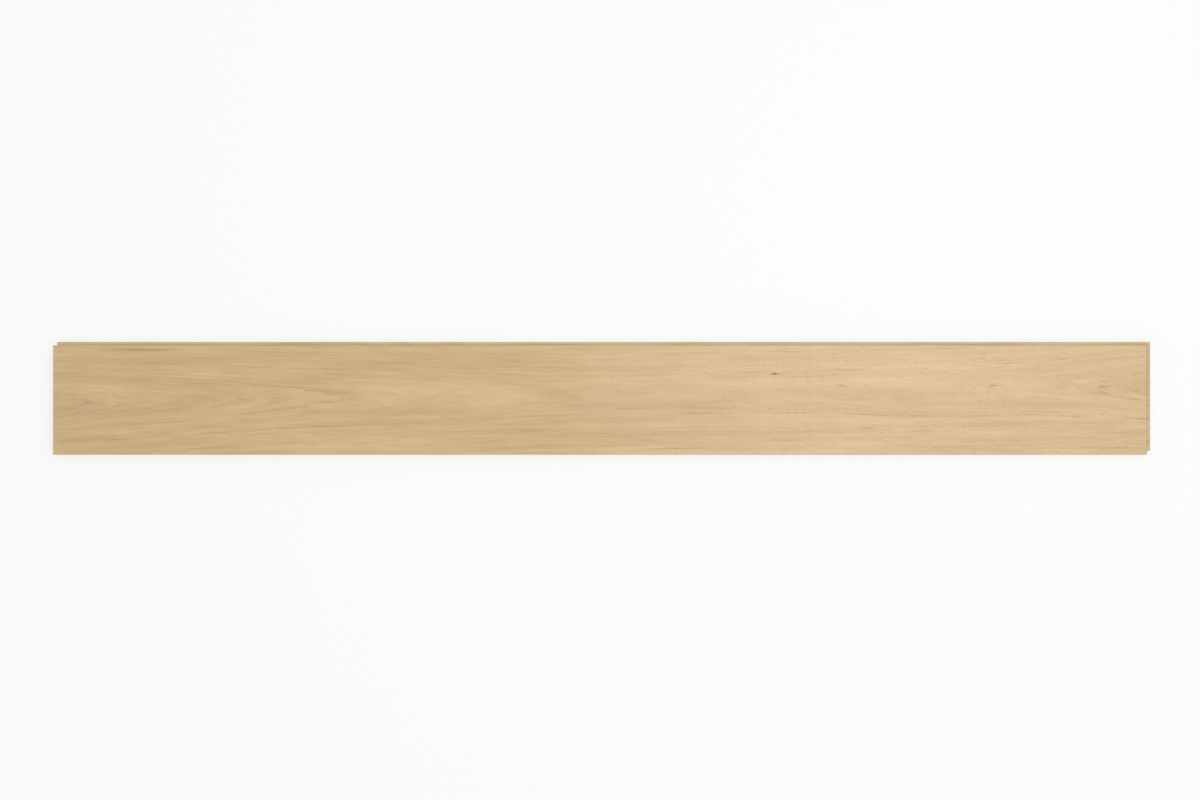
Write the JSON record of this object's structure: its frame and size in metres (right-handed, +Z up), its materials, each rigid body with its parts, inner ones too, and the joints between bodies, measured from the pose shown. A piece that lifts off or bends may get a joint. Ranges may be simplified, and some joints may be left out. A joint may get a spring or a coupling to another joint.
{
  "type": "engineered hardwood plank",
  "caption": "Long flat floor plank with an oak face over a cross-laminated core, bevelled face edges and a milled tongue and groove on its sides and ends.",
  "frame": {"origin": "on the underside, below the middle of the face as measured shoulder to shoulder", "axes": "+X along the plank towards its end tongue, +Y across it towards its long tongue, +Z up through the face"},
  "size_m": [1.906, 0.196, 0.015],
  "materials": {
    "oak_face": "matte",
    "birch_cross": "matte",
    "birch_long": "matte",
    "birch_backing": "matte"
  },
  "bodies": {
    "root": {"oak_wear_layer": "oak_face", "cross_ply_1": "birch_cross", "long_ply_1": "birch_long", "cross_ply_2": "birch_cross", "long_ply_2": "birch_long", "cross_ply_3": "birch_cross", "long_ply_3": "birch_long", "cross_ply_4": "birch_cross", "backing_ply": "birch_backing"}
  },
  "joints": []
}
